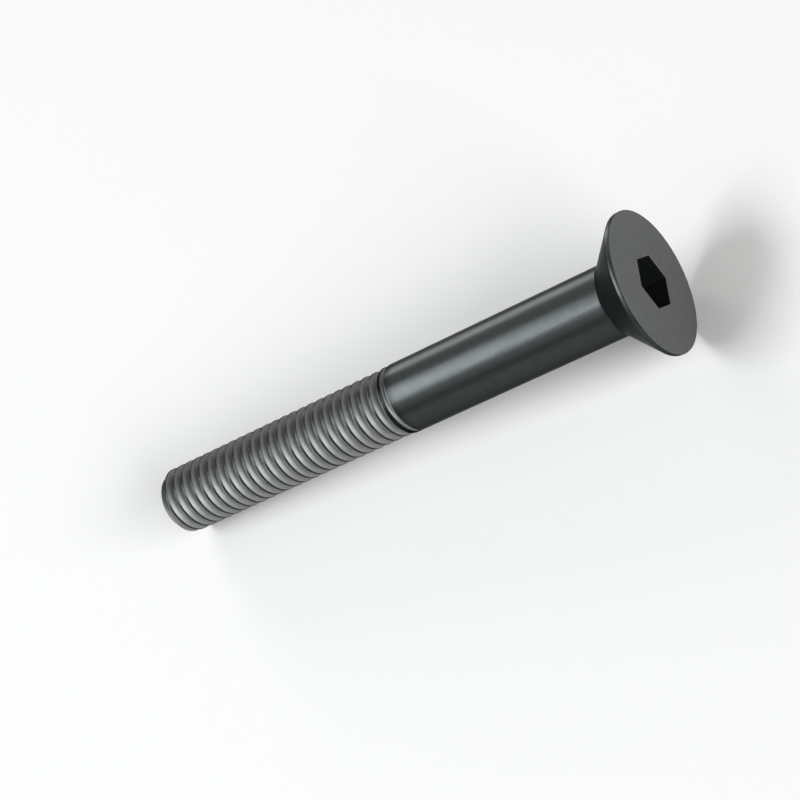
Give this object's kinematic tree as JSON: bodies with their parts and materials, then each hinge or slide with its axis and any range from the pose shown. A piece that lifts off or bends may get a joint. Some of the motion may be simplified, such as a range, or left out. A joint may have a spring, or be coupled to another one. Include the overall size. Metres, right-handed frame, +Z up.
{
  "type": "countersunk socket screw",
  "caption": "Countersunk screw with a hexagon socket, a plain shank and a partly threaded end, lying on its rim and tip.",
  "frame": {"origin": "on the table, under the middle of the lying screw", "axes": "+X from the tip towards the head, +Z up; the screw's own axis rises 3.6 degrees towards the head"},
  "size_m": [0.0504, 0.012, 0.012],
  "materials": {
    "blackened_steel": "black oxide, satin"
  },
  "bodies": {
    "root": {"countersunk_screw": "blackened_steel"}
  },
  "joints": []
}
